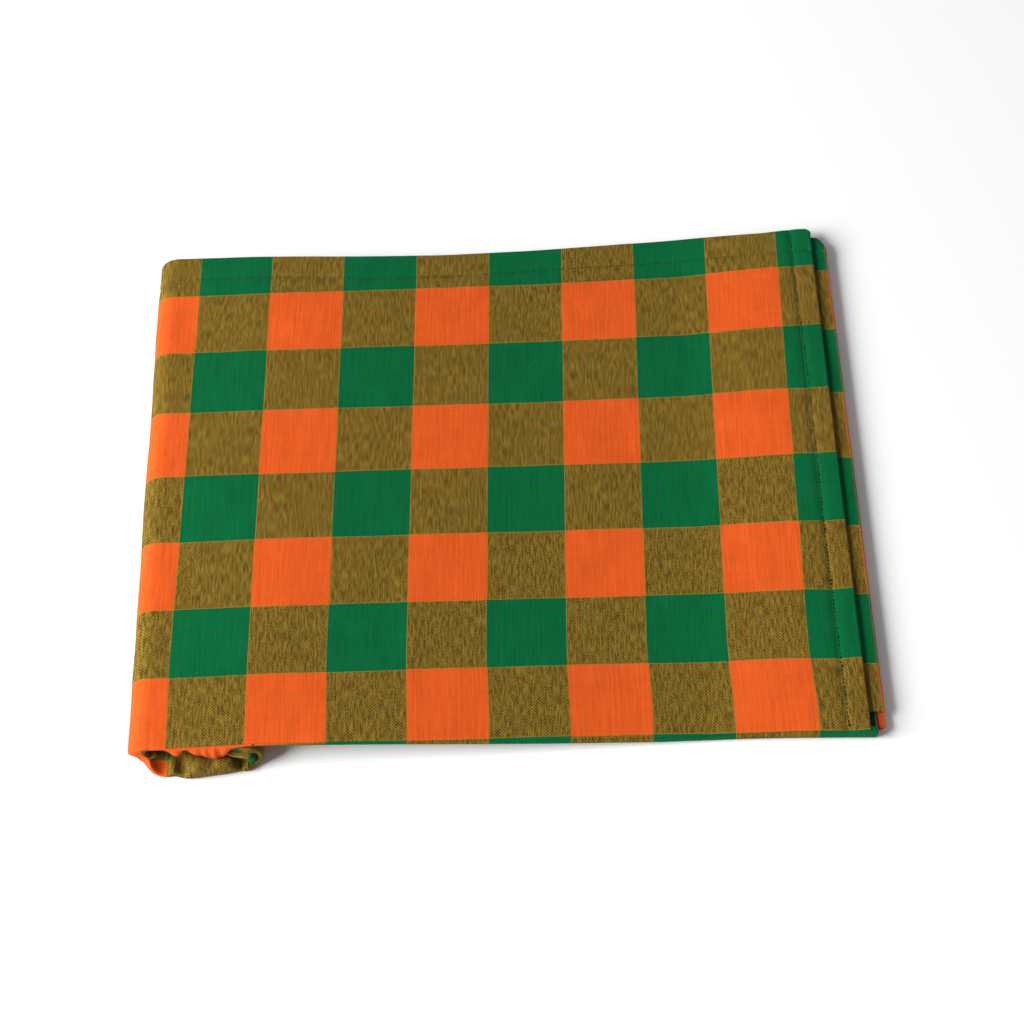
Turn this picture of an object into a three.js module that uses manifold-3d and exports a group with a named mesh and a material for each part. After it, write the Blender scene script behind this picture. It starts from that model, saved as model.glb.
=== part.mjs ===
// A shuka: one rectangle of checked cotton, hemmed on its four sides, folded in half along
// its length and twice across into a strip of eight plies. One end of the strip is rolled
// under. The cloth lies with the open hems at the right and at the back, a fold along the
// front, and the flattened roll under its left end.
//
// Lengths are in millimetres: X runs along the strip, Y across it to the back, Z up.
// A place in the cloth is given by s, the way along the strip's outer face (it equals X on
// top and runs on through the roll), by y, and by depth, measured in from the outer face.
import * as THREE from "three";
import Module from "manifold-3d";
import { mergeVertices } from "three/addons/utils/BufferGeometryUtils.js";

const wasm = await Module();
wasm.setup();

// ---------------------------------------------------------------- driving sizes
const MIDDLE = { x: 10.7, y: -8.0 };      // middle of the footprint, moved to the origin
const WALL = 1.0;                         // one ply with its loft
const SEAM = 0.3;                         // air between two plies
const SKEW = { roll: 0.024, hems: 0.032 };   // how far the two ends lean from square

const CREST = { s: -200.5, top: 26 };     // where the roll's top begins
const SLOPE_START = -150;                 // the strip starts to fall towards the right here
const FLOOR_START = 130;                  // from here on it lies on the floor
const STRIP = { rolled: 4.6, flat: 7 };   // height of the eight plies, pressed and loose
const HEM_STACK = { start: 120, end: 200, rise: 3 };   // the stacked end hems thicken the strip
const FOLD_RADIUS = 2.5;                  // corner of the fold along the front
const CORNER_RADIUS = 4;                  // hemmed corner at the back right
const UNDER_HALF_AHEAD = 4;               // the top ply's lower half ends this much further right

const TOP_PLY_END = 221.5;                // hemmed right edge of the top ply
const SECOND_PLY = { start: 0, end: 231, front: -169 };   // stands out by about 9 mm
const END_HEM_WIDTH = 16.5;
const SIDE_HEM_WIDTH = 18.5;

// How far the other edges at the back lie in front of the top ply's.
const BEHIND = { sideHem: 0.4, secondPly: 1.6, secondHem: 2.4, core: 2, underHalf: 3, folds: 3.8 };

// The roll, from the crest on: each stretch of the strip's outer face, its length or its bend.
const ROLL = [
  { stretch: "left bend", radius: 13 },
  { stretch: "floor run", length: 59.5 },
  { stretch: "right bend", radius: 10.4 },
  { stretch: "second run", length: 49 },
  { stretch: "second left bend", radius: 7.95 },
  { stretch: "third run", length: 38 },
  { stretch: "second right bend", radius: 5.5 },
  { stretch: "fourth run", length: 30 },
];
const INNER_END = { nose: 2.2, blunt: 0.35 };   // the strip's inner end is a rounded fold

// Front fold and back edge of the strip, by s. Rolled stretches creep forward, turn by turn.
const EDGES = [
  { s: 240, front: -183.6, back: 187.6 },
  { s: 150, front: -183.4, back: 184.6 },
  { s: 90, front: -185.8, back: 178.8 },
  { s: 35, front: -188.0, back: 172.4 },
  { s: -20, front: -190.2, back: 166.4 },
  { s: -75, front: -192.6, back: 162.6 },
  { s: -130, front: -195.2, back: 161.2 },
  { s: -200, front: -196.6, back: 159.6 },
  { s: -216, front: -197.4, back: 158.6 },
  { s: -224, front: -196.2, back: 158.0 },
  { s: -238, front: -200.6, back: 156.4 },
  { s: -262, front: -203.2, back: 154.4 },
  { s: -300, front: -202.2, back: 152.8 },
  { s: -318, front: -199.4, back: 152.4 },
  { s: -336, front: -197.6, back: 154.0 },
  { s: -385, front: -198.6, back: 156.6 },
  { s: -410, front: -201.0, back: 155.0 },
  { s: -450, front: -200.4, back: 153.0 },
  { s: -500, front: -198.8, back: 154.0 },
];

// The hidden layers share one rounded solid, with slots between them at the right end and
// at the back. Each layer's end, along s, and its front fold:
const LAYERS = [
  { layer: "third ply", end: 232.8, front: -179.0 },
  { layer: "middle plies", end: 229.2, front: -180.6 },
  { layer: "lower plies", end: 230.8, front: -179.8 },
];
const SLOT = { air: 0.35, deep: 6 };      // between two layers

// ---------------------------------------------------------------- shape of the strip
const clamp = (t) => Math.min(1, Math.max(0, t));
const smooth = (t) => clamp(t) ** 2 * (3 - 2 * clamp(t));

const downSlope = (s) => clamp((s - SLOPE_START) / (FLOOR_START - SLOPE_START));
const fallen = (s) => 0.5 * smooth(downSlope(s)) + 0.5 * downSlope(s);
const hemRise = (s) =>
  HEM_STACK.rise * smooth((s - HEM_STACK.start) / (HEM_STACK.end - HEM_STACK.start));
const thickness = (s) =>
  STRIP.rolled + (STRIP.flat - STRIP.rolled) * downSlope(s) + hemRise(s);

// The front or back edge at s: a smooth curve through the rows of EDGES.
function edge(s, side) {
  const last = EDGES.length - 1;
  let row = 0;
  while (row < last - 1 && s < EDGES[row + 1].s) row += 1;
  const slope = (i) => {
    const [before, after] = [EDGES[Math.max(i - 1, 0)], EDGES[Math.min(i + 1, last)]];
    return (after[side] - before[side]) / (after.s - before.s);
  };
  const [from, to] = [EDGES[row], EDGES[row + 1]];
  const run = to.s - from.s;
  const t = clamp((s - from.s) / run);
  return from[side] * (1 - smooth(t)) + to[side] * smooth(t)
    + run * t * (1 - t) * (slope(row) * (1 - t) - slope(row + 1) * t);
}

// Back edge of a ply that ends at a hemmed corner.
function corneredBack(s, end) {
  const short = clamp((s - end + CORNER_RADIUS) / CORNER_RADIUS);
  return edge(s, "back") - CORNER_RADIUS * (1 - Math.sqrt(1 - short ** 2));
}
const CORNER_STATIONS = [0.12, 0.35, 1].map((part) => part * CORNER_RADIUS);

// Outer face of the strip at s, with the direction that points out of it.
function outerFace(s) {
  if (s >= CREST.s) {
    const drop = (CREST.top - STRIP.flat) * fallen(s);
    return { x: s, z: CREST.top - drop + hemRise(s), outX: 0, outZ: 1 };
  }
  let left = CREST.s - s;
  let x = CREST.s;
  let z = CREST.top;
  let heading = Math.PI;
  for (const { radius, length } of ROLL) {
    const full = radius ? Math.PI * radius : length;
    const step = Math.min(left, full);
    if (radius) {
      const next = heading + step / radius;
      x += radius * (Math.sin(next) - Math.sin(heading));
      z += radius * (Math.cos(heading) - Math.cos(next));
      heading = next;
    } else {
      x += step * Math.cos(heading);
      z += step * Math.sin(heading);
    }
    left -= step;
    if (left <= 0) break;
  }
  return { x, z, outX: Math.sin(heading), outZ: -Math.cos(heading) };
}

function place(s, y, depth) {
  const face = outerFace(s);
  const lean = SKEW.roll
    + (SKEW.hems - SKEW.roll) * clamp((s - SLOPE_START) / (SECOND_PLY.end - SLOPE_START));
  return [
    face.x - depth * face.outX - lean * y - MIDDLE.x,
    y - MIDDLE.y,
    face.z - depth * face.outZ,
  ];
}

// Distances along the roll at which each stretch ends.
const rollEnds = [];
for (const { radius, length } of ROLL) {
  rollEnds.push((rollEnds.at(-1) ?? CREST.s) - (radius ? Math.PI * radius : length));
}

// Stations from one s to another: a few on straight runs, one every 20 degrees or so in bends.
function stations(from, to, wanted = []) {
  const marks = [from, to, ...wanted];
  for (let s = 200; s > SLOPE_START; s -= 35) marks.push(s);
  marks.push(FLOOR_START, SLOPE_START, CREST.s);
  let start = CREST.s;
  ROLL.forEach(({ radius }, i) => {
    const pieces = radius ? 9 : 3;
    for (let k = 1; k <= pieces; k += 1) marks.push(start + (rollEnds[i] - start) * (k / pieces));
    start = rollEnds[i];
  });
  const inside = marks.filter((s) => s <= from && s >= to).sort((a, b) => b - a);
  return inside.filter((s, i) => i === 0 || inside[i - 1] - s > 0.05);
}

// ---------------------------------------------------------------- solids
// Joins one closed outline of { y, depth } per station into a closed body.
function sweep(list, outlineAt) {
  const placed = (s) => outlineAt(s).map(({ y, depth, ahead = 0 }) => place(s + ahead, y, depth));
  const rings = list.map(placed);
  const count = rings[0].length;
  const flat = outlineAt(list[0]).map(({ y, depth }) => new THREE.Vector2(y, depth));
  const cap = THREE.ShapeUtils.triangulateShape(flat, []);
  if (THREE.ShapeUtils.isClockWise(flat)) cap.forEach((corner) => corner.reverse());
  const index = [];
  for (let ring = 0; ring + 1 < rings.length; ring += 1) {
    for (let k = 0; k < count; k += 1) {
      const a = ring * count + k;
      const b = ring * count + ((k + 1) % count);
      index.push(a, a + count, b, b, a + count, b + count);
    }
  }
  const last = (rings.length - 1) * count;
  for (const [a, b, c] of cap) {
    index.push(a, b, c);
    index.push(last + a, last + c, last + b);
  }
  const body = new THREE.BufferGeometry();
  body.setAttribute("position", new THREE.Float32BufferAttribute(rings.flat(2), 3));
  body.setIndex(index);
  return facingOut(body);
}

function facingOut(body) {
  const at = body.getAttribute("position");
  const order = body.getIndex().array;
  let volume = 0;
  const [a, b, c] = [new THREE.Vector3(), new THREE.Vector3(), new THREE.Vector3()];
  for (let k = 0; k < order.length; k += 3) {
    a.fromBufferAttribute(at, order[k]);
    b.fromBufferAttribute(at, order[k + 1]);
    c.fromBufferAttribute(at, order[k + 2]);
    volume += a.dot(b.cross(c));
  }
  if (volume < 0) {
    for (let k = 0; k < order.length; k += 3) {
      [order[k + 1], order[k + 2]] = [order[k + 2], order[k + 1]];
    }
  }
  return body;
}

function solid(body) {
  const bare = body.clone();
  bare.deleteAttribute("normal");
  bare.deleteAttribute("uv");
  const merged = mergeVertices(bare, 1e-4);
  return new wasm.Manifold(new wasm.Mesh({
    numProp: 3,
    vertProperties: new Float32Array(merged.getAttribute("position").array),
    triVerts: new Uint32Array(merged.getIndex().array),
  }));
}

function geometryOf(manifold) {
  const mesh = manifold.getMesh();
  const body = new THREE.BufferGeometry();
  body.setAttribute("position", new THREE.BufferAttribute(mesh.vertProperties, 3));
  body.setIndex(new THREE.BufferAttribute(mesh.triVerts, 1));
  return body;
}

// The rounded front of a strip between two depths: a quarter turn at each corner.
function roundedFront(front, top, bottom, radius, steps) {
  const r = Math.min(radius, (bottom - top) * 0.48);
  const points = [];
  for (let k = 0; k <= steps; k += 1) {
    const turn = (k / steps) * Math.PI / 2;
    points.push({ y: front + r - r * Math.sin(turn), depth: top + r - r * Math.cos(turn) });
  }
  for (let k = 0; k <= steps; k += 1) {
    const turn = (k / steps) * Math.PI / 2;
    points.push({ y: front + r - r * Math.cos(turn), depth: bottom - r + r * Math.sin(turn) });
  }
  return points;
}

// A ply folded round the front: top half, fold and bottom half, as one wall.
function foldedPly(s) {
  const front = edge(s, "front");
  const back = corneredBack(s, TOP_PLY_END);
  const bottom = thickness(s);
  const ahead = (depth) => UNDER_HALF_AHEAD * (depth / bottom)
    * smooth((s - END_HEM_START) / END_HEM_WIDTH);
  const outer = roundedFront(front, 0, bottom, FOLD_RADIUS, 4);
  const inner = roundedFront(front + WALL, WALL, bottom - WALL, FOLD_RADIUS - WALL, 4);
  return [
    { y: back, depth: 0 },
    ...outer,
    { y: back - BEHIND.underHalf, depth: bottom },
    { y: back - BEHIND.underHalf, depth: bottom - WALL },
    ...inner.reverse(),
    { y: back, depth: WALL },
  ].map((point) => ({ ...point, ahead: ahead(point.depth) }));
}

function topSheet() {
  const corner = CORNER_STATIONS.map((back) => TOP_PLY_END - back);
  return sweep(stations(TOP_PLY_END, rollEnds[1], corner), foldedPly);
}

// A flat band of one ply under another, from the back to a line further forward.
function band(from, to, { front, back, top, wall = WALL }) {
  const corner = CORNER_STATIONS.map((behind) => from - behind);
  return sweep(stations(from, to, corner), (s) => [
    { y: back(s), depth: top },
    { y: front(s), depth: top },
    { y: front(s), depth: top + wall },
    { y: back(s), depth: top + wall },
  ]);
}

// Depths under the top ply: its hems, the second ply, and the second ply's hem.
const HEM_TOP = WALL + SEAM;
const SECOND_TOP = HEM_TOP + WALL + SEAM;
const SECOND_HEM_TOP = SECOND_TOP + WALL + SEAM;
const END_HEM_START = TOP_PLY_END - END_HEM_WIDTH;
const SECOND_HEM_START = SECOND_PLY.end - END_HEM_WIDTH;
const insideFold = (s) => edge(s, "front") + WALL + SEAM * 3;

function endHem() {
  return band(TOP_PLY_END, END_HEM_START, {
    front: (s) => insideFold(s) + FOLD_RADIUS,
    back: (s) => corneredBack(s, TOP_PLY_END),
    top: HEM_TOP,
  });
}

function sideHem() {
  return band(END_HEM_START - SEAM, CREST.s, {
    front: (s) => edge(s, "back") - SIDE_HEM_WIDTH,
    back: (s) => edge(s, "back") - BEHIND.sideHem,
    top: HEM_TOP,
  });
}

function secondPly() {
  return band(SECOND_PLY.end, SECOND_PLY.start, {
    front: () => SECOND_PLY.front,
    back: (s) => corneredBack(s, SECOND_PLY.end) - BEHIND.secondPly,
    top: SECOND_TOP,
  });
}

function secondHem() {
  return band(SECOND_PLY.end - SEAM, SECOND_HEM_START, {
    front: () => SECOND_PLY.front + 1,
    back: (s) => corneredBack(s, SECOND_PLY.end) - BEHIND.secondHem,
    top: SECOND_HEM_TOP,
  });
}

// The plies that nothing shows, as one rounded solid. Its top gives room to the hems and to
// the second ply, and one slot parts the four hemmed edges at the back from the folds.
function foldedCore() {
  const outline = (s) => {
    const underSecond = s > SECOND_PLY.start - SEAM / 2;
    const underSecondHem = s > SECOND_HEM_START - SEAM * 1.5;
    const underSideHem = s > CREST.s - SEAM;
    let top = HEM_TOP;
    if (underSecond) top = SECOND_HEM_TOP;
    if (underSecondHem) top = SECOND_HEM_TOP + WALL + SEAM;
    const bandTop = underSideHem ? Math.max(top, SECOND_TOP) : top;
    const bottom = thickness(s) - WALL - SEAM;
    const back = edge(s, "back") - BEHIND.core;
    const folds = edge(s, "back") - BEHIND.folds;
    const step = edge(s, "back") - SIDE_HEM_WIDTH - SEAM;
    const middle = (bandTop + bottom) / 2;
    const [above, below] = [middle - SLOT.air / 2, middle + SLOT.air / 2];
    return [
      { y: back, depth: bandTop },
      { y: step, depth: bandTop },
      { y: step - 0.05, depth: bandTop === top ? top - 0.02 : top },
      ...roundedFront(insideFold(s), top, bottom, FOLD_RADIUS - WALL, 3),
      { y: folds, depth: bottom },
      { y: folds, depth: below },
      { y: back - SLOT.deep, depth: below },
      { y: back - SLOT.deep, depth: above },
      { y: back, depth: above },
    ];
  };
  const steps = [SECOND_PLY.start - SEAM, SECOND_PLY.start, SECOND_HEM_START - SEAM * 2,
    SECOND_HEM_START - SEAM, CREST.s + SEAM, CREST.s - SEAM * 2];
  const root = TOP_PLY_END - 1;
  let core = solid(sweep(stations(root, rollEnds[1], steps), outline));
  const top = SECOND_HEM_TOP + WALL + SEAM;
  const bottom = thickness(root) - WALL - SEAM;
  const layer = (bottom - top - SLOT.air * (LAYERS.length - 1)) / LAYERS.length;
  LAYERS.forEach(({ end, front }, i) => {
    core = core.add(solid(band(end, root - 2, {
      front: () => front,
      back: (s) => edge(s, "back") - BEHIND.folds - i,
      top: top + i * (layer + SLOT.air),
      wall: layer,
    })));
  });
  return geometryOf(core);
}

// The turns inside the roll: the whole strip as one solid, with its front fold rounded, a
// slot between the hemmed edges and the folds at the back, and a rounded inner end.
function innerTurns() {
  const end = rollEnds.at(-1);
  const tip = [0.1, 0.5, 1.1].map((away) => end + away * INNER_END.nose);
  return sweep(stations(rollEnds[1] - SEAM, end, tip), (s) => {
    const round = Math.sqrt(1 - (1 - clamp((s - end) / INNER_END.nose)) ** 2);
    const half = thickness(s) / 2 * (INNER_END.blunt + (1 - INNER_END.blunt) * round);
    const middle = thickness(s) / 2;
    const back = edge(s, "back");
    return [
      { y: back, depth: middle - half },
      ...roundedFront(edge(s, "front"), middle - half, middle + half, FOLD_RADIUS, 4),
      { y: back - BEHIND.core, depth: middle + half },
      { y: back - BEHIND.core, depth: middle + SLOT.air / 2 },
      { y: back - SLOT.deep, depth: middle + SLOT.air / 2 },
      { y: back - SLOT.deep, depth: middle - SLOT.air / 2 },
      { y: back, depth: middle - SLOT.air / 2 },
    ];
  });
}

// ---------------------------------------------------------------- the folded cloth
const cotton = (color) => new THREE.MeshStandardMaterial({ color, roughness: 0.92, metalness: 0 });

const PIECES = [
  { name: "top_sheet", make: topSheet, color: "#c9642c" },
  { name: "end_hem", make: endHem, color: "#10623a" },
  { name: "side_hem", make: sideHem, color: "#1a6e42" },
  { name: "second_ply", make: secondPly, color: "#77602a" },
  { name: "second_hem", make: secondHem, color: "#8a6a2c" },
  { name: "folded_core", make: foldedCore, color: "#e25f24" },
  { name: "inner_turns", make: innerTurns, color: "#77602a" },
];

const group = new THREE.Group();
for (const { name, make, color } of PIECES) {
  const geometry = make();
  geometry.computeVertexNormals();
  const piece = new THREE.Mesh(geometry, cotton(color));
  piece.name = name;
  group.add(piece);
}

export default group;
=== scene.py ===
# %% [markdown]
# # A folded shuka
# A shuka is a rectangle of checked cotton that is worn wrapped round the body. This one is
# hemmed on its four sides, folded into a strip of eight plies, and rolled under at one end.
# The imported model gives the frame: the cloth's plain solids, in metres. Every piece made here
# lies where its solid lies and has the finer form of real cloth.

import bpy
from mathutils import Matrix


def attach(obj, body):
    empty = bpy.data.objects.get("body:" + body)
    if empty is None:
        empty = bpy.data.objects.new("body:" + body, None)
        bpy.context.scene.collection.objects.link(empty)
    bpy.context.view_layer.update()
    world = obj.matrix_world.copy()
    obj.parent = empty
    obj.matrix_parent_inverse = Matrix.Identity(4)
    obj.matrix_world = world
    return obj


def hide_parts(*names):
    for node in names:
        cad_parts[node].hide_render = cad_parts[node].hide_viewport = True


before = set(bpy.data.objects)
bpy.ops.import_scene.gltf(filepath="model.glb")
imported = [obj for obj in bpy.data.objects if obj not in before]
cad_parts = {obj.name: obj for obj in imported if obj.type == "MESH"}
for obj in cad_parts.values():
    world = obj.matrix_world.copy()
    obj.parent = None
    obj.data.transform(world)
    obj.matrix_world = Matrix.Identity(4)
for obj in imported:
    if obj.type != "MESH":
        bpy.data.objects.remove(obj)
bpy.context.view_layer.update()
print("solids:", sorted(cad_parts))

# %% Tools
import math

import bpy
import numpy as np
from mathutils import Matrix, Vector, noise

MM = 0.001

# %% [markdown]
# The camera comes first, because it decides how fine each thing has to be. The cloth is seen
# from its long front side, well above it, by a lens of 80 mm that is turned a little on its
# own axis. With no turn it would look straight down, and three turns in a row tilt it.

# %% Camera
CAMERA = {"x": 38.0, "y": -751.6, "z": 1228.2, "down": 59.05, "aside": -2.6, "turned": 3.0}


def make_camera():
    camera = bpy.data.objects.new("camera", bpy.data.cameras.new("camera"))
    camera.data.lens = 80
    camera.data.sensor_width = 36
    camera.data.clip_end = 20
    bpy.context.collection.objects.link(camera)
    view = Matrix.Translation(Vector((CAMERA["x"], CAMERA["y"], CAMERA["z"])) * MM)
    turns = (("Z", -CAMERA["aside"]), ("X", 90 - CAMERA["down"]), ("Z", -CAMERA["turned"]))
    for axis, angle in turns:
        view = view @ Matrix.Rotation(math.radians(angle), 4, axis)
    camera.matrix_world = view
    bpy.context.scene.camera = camera
    return camera


camera = make_camera()
print("camera at", [round(v, 3) for v in camera.matrix_world.translation])

# %% [markdown]
# The strip's form. A place in the cloth is given by s, the way along the strip's outer face,
# by y across it, and by the depth measured in from the outer face. One function turns these
# three into a point, on the flat stretch and in the roll alike, so every ply, hem and stitch
# can be laid with the same call. The sizes are millimetres.

# %% Sizes of the strip
def table(keys, rows):
    """Rows given one by one, with a name for each column."""
    return [dict(zip(keys.split(), row)) for row in rows]


MIDDLE = {"x": 10.7, "y": -8.0}
SKEW = {"roll": 0.024, "hems": 0.032}
CREST = {"s": -200.5, "top": 26.0}
BULGE = {"out": 1.8, "from": -186.0, "over": -22.0}
BULGE_BACK = {"out": 0.7, "from": 120.0, "over": 35.0}
SLOPE = {"from": -150.0, "over": 280.0}
STRIP = {"rolled": 4.6, "flat": 7.0}
HEM_STACK = {"from": 120.0, "over": 80.0, "rise": 3.0}
CORNER_RADIUS = 4.0
TOP_PLY_END = 221.5
SECOND_PLY = {"end": 231.0, "front": -169.0}
END_HEM_WIDTH = 16.5
SIDE_HEM_WIDTH = 18.5
ROLL = table("stretch radius length", [
    ("left bend", 13, 0), ("floor run", 0, 55), ("right bend", 10.4, 0), ("second run", 0, 38),
    ("second left bend", 7.95, 0), ("third run", 0, 38), ("second right bend", 5.5, 0),
    ("fourth run", 0, 28),
])
EDGES = table("s front back", [
    (240, -183.6, 187.6), (150, -183.4, 184.6), (90, -185.8, 178.8), (35, -188, 172.4),
    (-20, -190.2, 166.4), (-75, -192, 162.6), (-130, -193.9, 161.2), (-200, -196.6, 159.6),
    (-216, -197.4, 158.6), (-224, -196.2, 158), (-238, -202.6, 156.4), (-262, -205.4, 154.4),
    (-300, -203.2, 152.8), (-318, -199.6, 152.4), (-336, -197.6, 154), (-385, -198.6, 156.6),
    (-410, -201, 155), (-450, -200.4, 153), (-500, -198.8, 154),
])
print(len(EDGES), "places along the edges")


# %% Thickness and edges
def clamp(t):
    return np.clip(t, 0.0, 1.0)


def read(rows, s, key):
    """One column of a table at s, on straight lines between its rows."""
    return np.interp(s, [row["s"] for row in rows[::-1]], [row[key] for row in rows[::-1]])


def smooth(t):
    return clamp(t) ** 2 * (3 - 2 * clamp(t))


def eased(at, row):
    """0 up to "from" and 1 beyond "over"; below zero, it runs the other way."""
    return smooth((at - row["from"]) / row["over"])


def down_slope(s):
    return clamp((s - SLOPE["from"]) / SLOPE["over"])


def hem_rise(s):
    return HEM_STACK["rise"] * eased(s, HEM_STACK)


def thickness(s):
    return STRIP["rolled"] + (STRIP["flat"] - STRIP["rolled"]) * down_slope(s) + hem_rise(s)


def edge(s, side):
    """Front or back edge of the strip: a smooth curve through the rows of EDGES."""
    last = len(EDGES) - 1
    row = 0
    while row < last - 1 and s < EDGES[row + 1]["s"]:
        row += 1

    def slope(i):
        before, after = EDGES[max(i - 1, 0)], EDGES[min(i + 1, last)]
        return (after[side] - before[side]) / (after["s"] - before["s"])

    start, end = EDGES[row], EDGES[row + 1]
    run = end["s"] - start["s"]
    t = clamp((s - start["s"]) / run)
    return (start[side] * (1 - smooth(t)) + end[side] * smooth(t)
            + run * t * (1 - t) * (slope(row) * (1 - t) - slope(row + 1) * t))


def cornered_back(s, end, along=CORNER_RADIUS, across=CORNER_RADIUS):
    """Back edge of a ply whose corner is rounded over two lengths."""
    short = clamp((s - end + along) / along)
    return edge(s, "back") - across * (1 - math.sqrt(1 - short ** 2))


def corner_rows(end, along):
    return [end - along * part for part in (0.16, 0.26, 0.4, 0.6, 0.8, 1.0)]


print("thickness in the roll", thickness(CREST["s"]), "and at the hems", thickness(TOP_PLY_END))

# %% Round the roll
ROLL_ENDS = []
for part in ROLL:
    begin = ROLL_ENDS[-1] if ROLL_ENDS else CREST["s"]
    ROLL_ENDS.append(begin - math.pi * part["radius"] - part["length"])
    print(part["stretch"], "ends at s =", round(ROLL_ENDS[-1], 1))
STRIP_END = ROLL_ENDS[-1]


def outer_face(s):
    """x and z of the outer face at s, and the direction that points out of it."""
    if s >= CREST["s"]:
        fallen = 0.5 * smooth(down_slope(s)) + 0.5 * down_slope(s)
        drop = (CREST["top"] - STRIP["flat"]) * fallen
        return s, CREST["top"] - drop + hem_rise(s), 0.0, 1.0
    left = CREST["s"] - s
    x, z, heading = CREST["s"], CREST["top"], math.pi
    for part in ROLL:
        radius = part["radius"]
        step = min(left, math.pi * radius + part["length"])
        if radius:
            turned = heading + step / radius
            x += radius * (math.sin(turned) - math.sin(heading))
            z += radius * (math.cos(heading) - math.cos(turned))
            heading = turned
        else:
            x += step * math.cos(heading)
            z += step * math.sin(heading)
        left -= step
        if left <= 0:
            break
    return x, z, math.sin(heading), -math.cos(heading)


# %% A place in the cloth
def lean(s):
    hems = clamp((s - SLOPE["from"]) / (SECOND_PLY["end"] - SLOPE["from"]))
    return SKEW["roll"] + (SKEW["hems"] - SKEW["roll"]) * hems


def bulged(x, y):
    """The roll's left side swells a little, less so at the back."""
    out = BULGE["out"] + (BULGE_BACK["out"] - BULGE["out"]) * eased(y, BULGE_BACK)
    return x - out * eased(x, BULGE)


def place(s, y, depth):
    """The points at one s, for arrays of y and depth."""
    x, z, out_x, out_z = outer_face(s)
    y, depth = np.broadcast_arrays(np.asarray(y, float), np.asarray(depth, float))
    return np.stack([bulged(x - depth * out_x, y) - lean(s) * y - MIDDLE["x"], y - MIDDLE["y"],
                     z - depth * out_z], -1)


print("middle of the crest at", place(CREST["s"], 0, 0).round(1), "mm")

# %% [markdown]
# Cloth is never quite flat. Pressed cotton keeps soft troughs where it lay folded before, low
# ridges beside them, and puckers along each seam. They are placed one by one here, each with its
# own length, width and height, because a noise pattern alone would look even all over.
# A very low noise goes under them for the unevenness of the weave.

# %% Creases placed one by one
# Each crease runs from one place (s, y) to another. Width is half of what it covers, and a
# height below zero is a trough. The under half sinks by UNDER_SINK at most, or it would meet
# the ply inside it.
TOP_CREASES = table("s y to_s to_y width height", [
    (-196, 150, -188, 20, 7, -0.35), (-186, -20, -194, -178, 6, -0.3),
    (-150, 120, -96, 96, 9, 0.28), (-128, -60, -120, -165, 8, 0.3),
    (-101, 158, -92, 60, 7, -0.26), (-64, -30, -58, -150, 6, -0.24),
    (-52, -90, -47, -188, 5, 0.24), (-20, 130, 34, 118, 8, -0.22), (-8, 40, 2, -70, 10, 0.26),
    (22, -118, 60, -130, 6, -0.24), (48, 166, 58, 96, 6, 0.25), (74, 20, 120, 4, 9, -0.28),
    (92, -70, 96, -176, 7, 0.22), (128, 150, 139, 60, 8, -0.3), (150, -20, 156, -128, 6, -0.24),
    (168, 110, 176, 24, 5, 0.26), (184, -84, 182, -170, 6, 0.3), (196, 176, 200, 96, 4, -0.26),
    (-222, 120, -214, -20, 6, -0.5), (-212, -60, -226, -178, 5, -0.55),
    (-230, 60, -236, -90, 5, 0.4),
])
UNDER_SINK = 0.22
UNDER_CREASES = table("s y to_s to_y width height", [
    (196, 130, 188, 20, 8, -0.3), (150, -20, 158, -150, 7, -0.34), (96, 120, 88, -60, 10, -0.4),
    (40, -20, 28, -170, 9, 0.45), (-6, 140, -18, 30, 8, -0.5), (-60, 60, -52, -120, 11, 0.6),
    (-104, 130, -112, -20, 9, -0.5), (-140, -10, -132, -160, 8, 0.5),
    (-180, 110, -172, -60, 9, -0.5),
])


def crease_height(creases, s, y):
    """Height of the listed creases at s, for an array of y."""
    total = np.zeros_like(y)
    for crease in creases:
        start = np.array([crease["s"], crease["y"]], float)
        way = np.array([crease["to_s"], crease["to_y"]], float) - start
        at = np.stack([np.full_like(y, s), y], -1) - start
        t = clamp(at @ way / (way @ way))
        gap = np.linalg.norm(at - t[:, None] * way, axis=1)
        fade = 0.35 + 0.65 * np.sin(math.pi * clamp(0.08 + 0.84 * t))
        total += crease["height"] * fade * np.exp(-(gap / crease["width"]) ** 2)
    return total


def unevenness(s, y, size, height, seed):
    """A low, soft noise: size is the width of a swelling, seed keeps the plies unlike."""
    return np.array([height * noise.noise(Vector((s / size, v / size, seed))) for v in y])


print(len(TOP_CREASES), "creases above and", len(UNDER_CREASES), "below")

# %% [markdown]
# The check. The cloth is woven with stripes 48 mm wide in the warp and in the weft, and the
# threads aren't quite square to the folded edges: the rows climb by about four degrees, and
# they bow a little, as cloth does when it is folded by hand. Each vertex gets two numbers,
# its place across the warp and across the weft in millimetres, kept as a mesh attribute.
# The material reads them, so the check runs on round every fold, hem and turn.

# %% Where the threads run
ROWS_CLIMB = math.tan(math.radians(4.1))
CLIMB_REACH = 230
REACH = {"along": 200.0, "across": 150.0}
# How far the threads are pulled off straight at the reach, in millimetres.
ROW_PULL = {"fan": 3.2, "fan_at_ends": 2.0, "bow": 0.9, "sway": -3.8, "crowding": -3.2}
COLUMN_PULL = {"all": 0.4, "bow": 2.0, "fan_at_ends": -1.0, "sway": -1.4, "front": 1.8,
               "front_right": 0.8}
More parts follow.
